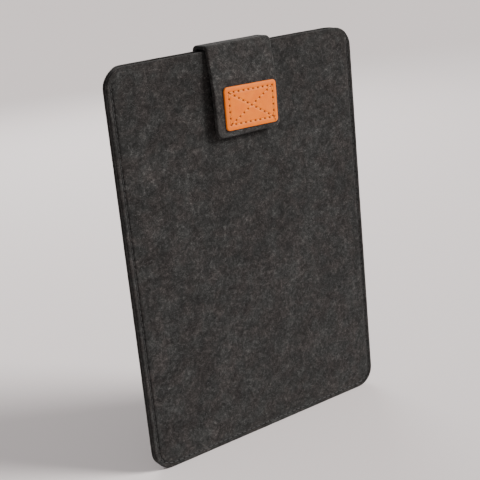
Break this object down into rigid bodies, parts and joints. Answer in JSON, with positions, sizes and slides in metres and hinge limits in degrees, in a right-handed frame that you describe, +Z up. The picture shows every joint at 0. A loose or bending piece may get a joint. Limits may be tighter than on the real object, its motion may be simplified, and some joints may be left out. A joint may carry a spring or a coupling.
{
  "type": "felt tablet sleeve",
  "caption": "Flat sewn felt sleeve for a slim tablet, open along its short top edge, closed by a felt strap with a leather patch and hidden hook-and-loop pads.",
  "frame": {"origin": "middle of the sleeve's bottom edge, on the seam plane between the two felt panels", "axes": "+X across the sleeve's width, to the right when seen from the front; +Z up the sleeve's height, towards the open mouth; the front, with the flap and its leather patch, faces -Y"},
  "size_m": [0.2, 0.0228, 0.2804],
  "materials": {
    "felt": "fuzzy melange felt",
    "edge_thread": "matt black sewing thread",
    "loop_tape": "black looped pile",
    "hook_tape": "black moulded hooks",
    "leather": "smooth tan leather, satin",
    "patch_thread": "tan sewing thread, slight sheen"
  },
  "bodies": {
    "sleeve": {"front_panel": "felt", "back_panel": "felt", "edge_seam_thread": "edge_thread", "loop_pad": "loop_tape", "loop_pad_thread": "edge_thread", "strap_anchor": "felt", "anchor_thread": "edge_thread"},
    "fold": {"strap_fold": "felt"},
    "flap": {"strap_flap": "felt", "hook_pad": "hook_tape", "leather_patch": "leather", "patch_thread": "patch_thread"}
  },
  "joints": [
    {"name": "strap_rear_bend", "type": "hinge", "parent": "sleeve", "child": "fold", "pos_m": [0.0008, 0.01041, 0.27911], "axis": [-1, 0, 0], "range_deg": [0, 110]},
    {"name": "strap_front_bend", "type": "hinge", "parent": "fold", "child": "flap", "pos_m": [0.0008, -0.00501, 0.27911], "axis": [-1, 0, 0], "range_deg": [0, 110]}
  ],
  "couplings": [
    {"joint": "strap_front_bend", "follows": "strap_rear_bend", "ratio": 1}
  ]
}
